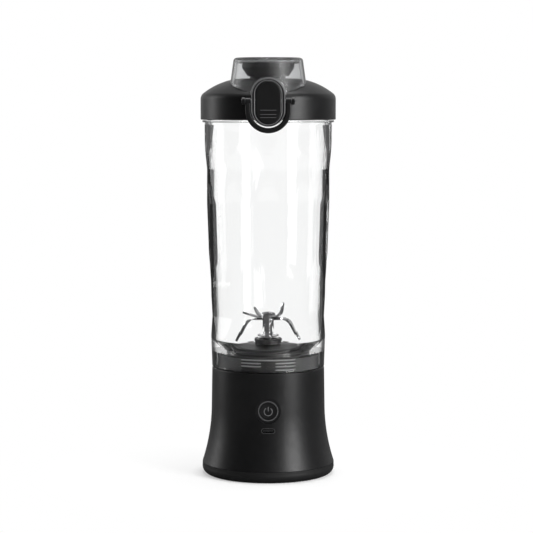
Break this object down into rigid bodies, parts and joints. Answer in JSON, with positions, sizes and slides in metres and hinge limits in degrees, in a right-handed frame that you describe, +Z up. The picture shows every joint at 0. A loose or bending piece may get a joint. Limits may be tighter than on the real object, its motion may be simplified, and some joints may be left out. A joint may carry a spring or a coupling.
{
  "type": "portable blender bottle",
  "caption": "Cordless blender bottle: flared charging base with power button and blades, clear faceted cup, screw lid with spout, smoke flip cap, release button and lock loop.",
  "frame": {"origin": "middle of the rubber foot, on the surface that the bottle stands on", "axes": "+Z up along the blade shaft and the bottle's axis, -Y to the front with the power button and the release button, +X to the right seen from the back"},
  "size_m": [0.088, 0.0938, 0.272],
  "materials": {
    "black_plastic": "soft-touch satin black moulding",
    "dark_plastic": "satin dark grey moulding",
    "black_rubber": "matte black rubber",
    "silicone": "soft dark grey silicone",
    "steel": "bright steel",
    "zinc_steel": "zinc-plated steel",
    "blade_steel": "polished stainless steel",
    "magnet": "dark ferrite",
    "lamination": "stacked steel laminations",
    "copper": "enamelled copper",
    "cell_wrap": "shrink-wrapped steel cell",
    "foam": "black foam",
    "board": "green glass-fibre board",
    "switch_plastic": "black switch body",
    "light_pipe": "frosted light ring",
    "clear_plastic": "clear moulded copolyester",
    "smoke_plastic": "smoke-tinted clear plastic"
  },
  "bodies": {
    "base": {"base_housing": "black_plastic", "rubber_foot": "black_rubber", "bottom_cover": "black_plastic", "cover_screws": "steel", "blade_deck": "dark_plastic", "deck_screws": "steel", "shaft_bearing": "steel", "shaft_seal": "black_rubber", "motor_can": "zinc_steel", "motor_screws": "steel", "motor_magnets": "magnet", "motor_end_cap": "dark_plastic", "battery_cells": "cell_wrap", "battery_cradle": "dark_plastic", "cell_pads": "foam", "control_board": "board", "board_screws": "steel", "tact_switch": "switch_plastic", "usb_c_port": "steel", "usb_c_tongue": "dark_plastic", "light_ring": "light_pipe"},
    "power_button": {"power_button": "black_plastic"},
    "blade_rotor": {"drive_shaft": "steel", "armature": "lamination", "armature_windings": "copper", "commutator": "copper", "shaft_washer": "steel", "shaft_spacer": "steel", "lower_blade": "blade_steel", "middle_blade": "blade_steel", "upper_blade": "blade_steel", "blade_nut": "steel"},
    "base_seal": {"base_seal": "silicone"},
    "cup": {"cup": "clear_plastic"},
    "lid_seal": {"lid_seal": "silicone"},
    "lid": {"lid_shell": "black_plastic", "spout": "dark_plastic", "cap_hinge_pin": "steel", "cap_spring": "steel", "cross_pin": "steel", "button_spring": "steel"},
    "flip_cap": {"flip_cap": "smoke_plastic", "cap_seal": "silicone"},
    "release_button": {"release_button": "black_plastic"},
    "lock_loop": {"lock_loop": "black_plastic"}
  },
  "joints": [
    {"name": "power_button_press", "type": "slide", "parent": "base", "child": "power_button", "axis": [0, 1, 0], "range_m": [0, 0.0005], "stiffness_N_per_m": 1500, "springref_m": -0.0004},
    {"name": "blade_spin", "type": "hinge", "parent": "base", "child": "blade_rotor", "pos_m": [0, 0, 0.09], "axis": [0, 0, 1], "continuous": true},
    {"name": "cup_twist", "type": "hinge", "parent": "base", "child": "base_seal", "pos_m": [0, 0, 0.08], "axis": [0, 0, 1], "range_deg": [0, 240]},
    {"name": "cup_lift", "type": "slide", "parent": "base_seal", "child": "cup", "axis": [0, 0, 1], "range_m": [0, 0.0053]},
    {"name": "lid_lift", "type": "slide", "parent": "cup", "child": "lid_seal", "axis": [0, 0, 1], "range_m": [0, 0.0081]},
    {"name": "lid_twist", "type": "hinge", "parent": "lid_seal", "child": "lid", "pos_m": [0, 0, 0.247], "axis": [0, 0, 1], "range_deg": [0, 360]},
    {"name": "cap_flip", "type": "hinge", "parent": "lid", "child": "flip_cap", "pos_m": [0, 0.0265, 0.2603], "axis": [-1, 0, 0], "range_deg": [0, 130]},
    {"name": "button_rock", "type": "hinge", "parent": "lid", "child": "release_button", "pos_m": [0, -0.0467, 0.2444], "axis": [1, 0, 0], "range_deg": [0, 6], "stiffness_Nm_per_rad": 0.3, "springref_deg": -5.73},
    {"name": "loop_swing", "type": "hinge", "parent": "lid", "child": "lock_loop", "pos_m": [0, -0.0467, 0.2444], "axis": [-1, 0, 0], "range_deg": [0, 170]}
  ],
  "couplings": [
    {"joint": "cup_lift", "follows": "cup_twist", "m_per_rad": 0.0012414},
    {"joint": "lid_lift", "follows": "lid_twist", "m_per_rad": 0.0012732}
  ]
}
